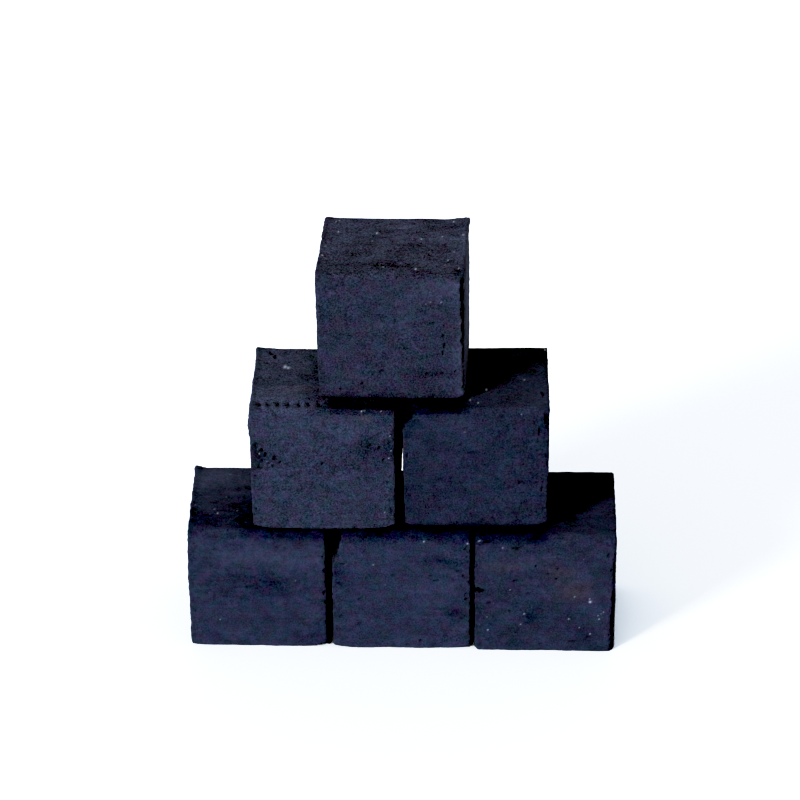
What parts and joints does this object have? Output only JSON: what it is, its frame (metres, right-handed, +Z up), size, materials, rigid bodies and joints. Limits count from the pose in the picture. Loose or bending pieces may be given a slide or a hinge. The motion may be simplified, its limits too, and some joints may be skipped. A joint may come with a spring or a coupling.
{
  "type": "charcoal cube pyramid",
  "caption": "Loose pressed-charcoal cubes stacked as a small stepped pyramid that stands on its flat underside.",
  "frame": {"origin": "on the ground under the middle of the pyramid's outline seen from above, which is the bottom centre of its bounding box", "axes": "+Z up, +X along the rows to the right when seen from the front, -Y towards the front, where the rows step forward as they go down"},
  "size_m": [0.0774, 0.0315, 0.0723],
  "materials": {
    "charcoal": "matte"
  },
  "bodies": {
    "bottom_centre": {"bottom_centre_cube": "charcoal"},
    "bottom_left": {"bottom_left_cube": "charcoal"},
    "bottom_right": {"bottom_right_cube": "charcoal"},
    "middle_left": {"middle_left_cube": "charcoal"},
    "middle_right": {"middle_right_cube": "charcoal"},
    "top": {"top_cube": "charcoal"}
  },
  "joints": [
    {"name": "top_cube_lift", "type": "slide", "parent": "bottom_centre", "child": "top", "axis": [0, 0, 1], "range_m": [0, 0.06]},
    {"name": "middle_left_cube_draw", "type": "slide", "parent": "bottom_centre", "child": "middle_left", "axis": [-1, 0, 0], "range_m": [0, 0.04]},
    {"name": "middle_right_cube_draw", "type": "slide", "parent": "bottom_centre", "child": "middle_right", "axis": [1, 0, 0], "range_m": [0, 0.04]},
    {"name": "bottom_left_cube_draw", "type": "slide", "parent": "bottom_centre", "child": "bottom_left", "axis": [-1, 0, 0], "range_m": [0, 0.03]},
    {"name": "bottom_right_cube_draw", "type": "slide", "parent": "bottom_centre", "child": "bottom_right", "axis": [1, 0, 0], "range_m": [0, 0.03]}
  ]
}
